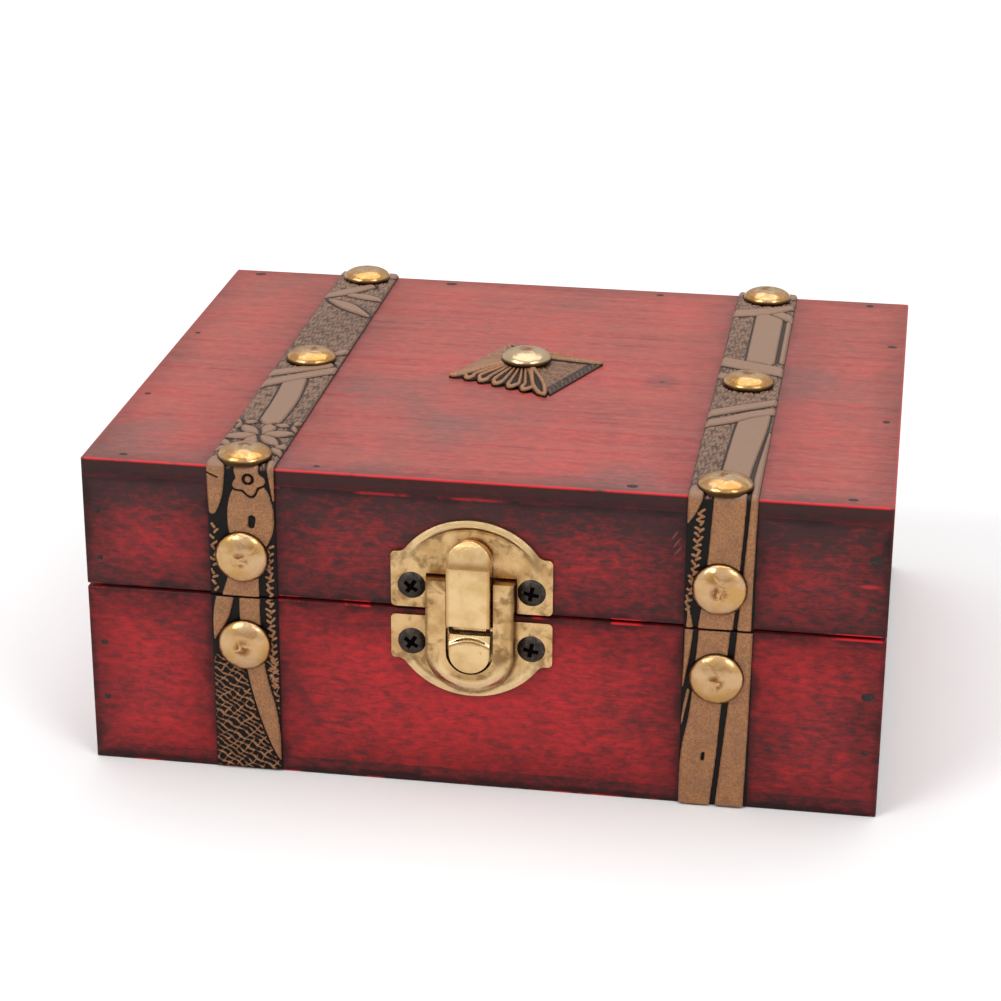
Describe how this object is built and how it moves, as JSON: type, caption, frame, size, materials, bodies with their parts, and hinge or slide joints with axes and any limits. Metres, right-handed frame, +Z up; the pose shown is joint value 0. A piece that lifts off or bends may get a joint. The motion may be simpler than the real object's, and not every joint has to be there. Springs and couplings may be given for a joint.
{
  "type": "treasure chest box",
  "caption": "Small red wooden chest with a hinged lid, embossed leather straps, domed brass studs and a sprung brass latch.",
  "frame": {"origin": "middle of the underside of the wooden box, where it rests", "axes": "+X to the right seen from the latch side, +Y to the back where the hinges are, +Z up"},
  "size_m": [0.135, 0.1142, 0.0605],
  "materials": {
    "stained_wood": "red stain, darkened edges, satin",
    "embossed_leather": "embossed, bronze on black",
    "brass": "pressed, tarnished in spots",
    "stud_brass": "polished, worn at the crown",
    "dark_screw": "dark bronze",
    "brad_steel": "blackened",
    "spring_steel": "spring steel"
  },
  "bodies": {
    "base": {"base_front_wall": "stained_wood", "base_back_wall": "stained_wood", "base_left_wall": "stained_wood", "base_right_wall": "stained_wood", "base_floor": "stained_wood", "base_corner_brads": "brad_steel", "base_floor_brads": "brad_steel", "base_front_left_strap": "embossed_leather", "base_front_right_strap": "embossed_leather", "base_back_left_strap": "embossed_leather", "base_back_right_strap": "embossed_leather", "base_studs": "stud_brass", "latch_lower_plate": "brass", "latch_lower_screws": "dark_screw", "latch_pin": "brass", "latch_spring": "spring_steel", "left_hinge_base_leaf": "brass", "right_hinge_base_leaf": "brass", "left_hinge_pin": "brass", "right_hinge_pin": "brass", "hinge_base_screws": "brass"},
    "lid": {"lid_front_wall": "stained_wood", "lid_back_wall": "stained_wood", "lid_left_wall": "stained_wood", "lid_right_wall": "stained_wood", "lid_top_panel": "stained_wood", "lid_corner_brads": "brad_steel", "lid_top_brads": "brad_steel", "lid_left_strap": "embossed_leather", "lid_right_strap": "embossed_leather", "lid_studs": "stud_brass", "lid_ornament": "embossed_leather", "ornament_stud": "stud_brass", "latch_upper_plate": "brass", "latch_upper_screws": "dark_screw", "left_hinge_lid_leaf": "brass", "right_hinge_lid_leaf": "brass", "hinge_lid_screws": "brass"},
    "latch_lever": {"latch_lever": "brass"}
  },
  "joints": [
    {"name": "lid_hinge", "type": "hinge", "parent": "base", "child": "lid", "pos_m": [0, 0.0548, 0.03275], "axis": [-1, 0, 0], "range_deg": [0, 150]},
    {"name": "latch_press", "type": "hinge", "parent": "base", "child": "latch_lever", "pos_m": [-0.0011, -0.0554, 0.03065], "axis": [1, 0, 0], "range_deg": [0, 9], "stiffness_Nm_per_rad": 0.1, "springref_deg": -2.86, "deforming": ["latch_spring"]}
  ]
}
